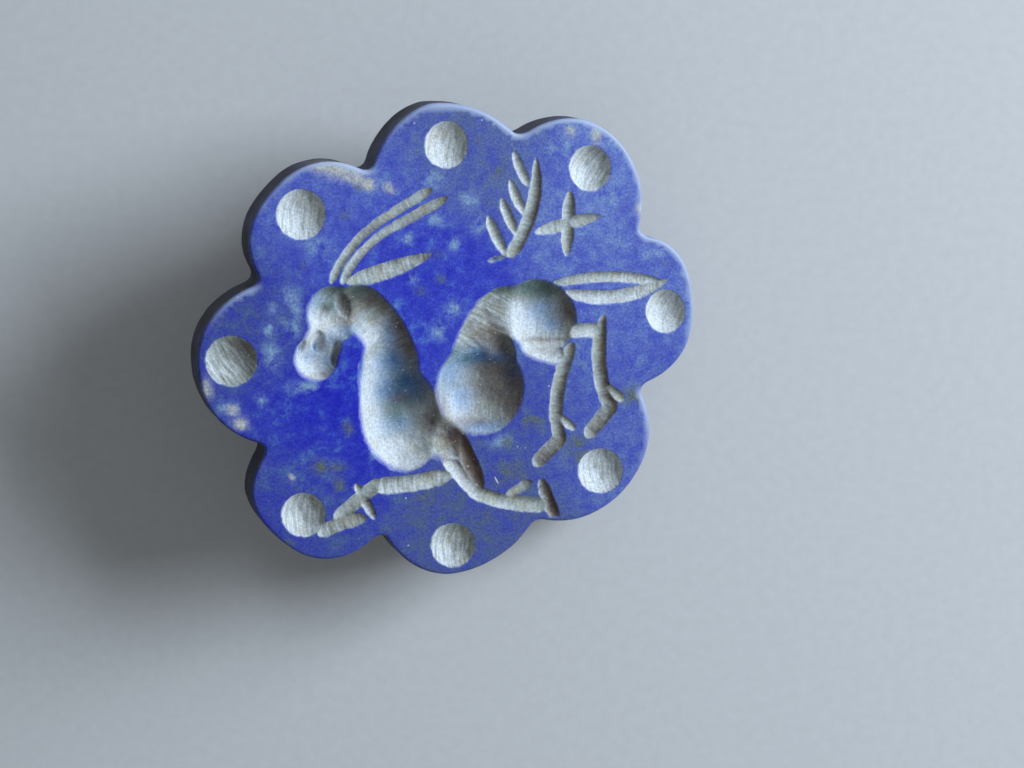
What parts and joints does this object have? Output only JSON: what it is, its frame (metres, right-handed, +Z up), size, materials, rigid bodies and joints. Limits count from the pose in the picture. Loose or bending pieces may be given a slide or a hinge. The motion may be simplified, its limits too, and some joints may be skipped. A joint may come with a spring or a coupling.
{
  "type": "stamp seal",
  "caption": "Lobed stone stamp seal with a leaping goat, a branch and a cross cut into its face, and a low pierced lug behind.",
  "frame": {"origin": "centre of the bounding box in X and Y, on the surface the seal lies on", "axes": "+Z up, the sealing face looks up and leans 19 degrees toward +X; +Y is the top of the design"},
  "size_m": [0.036, 0.0342, 0.0146],
  "materials": {
    "lapis_lazuli": "polished face worn dull, cuts left matt and pale"
  },
  "bodies": {
    "root": {"seal_stone": "lapis_lazuli"}
  },
  "joints": []
}
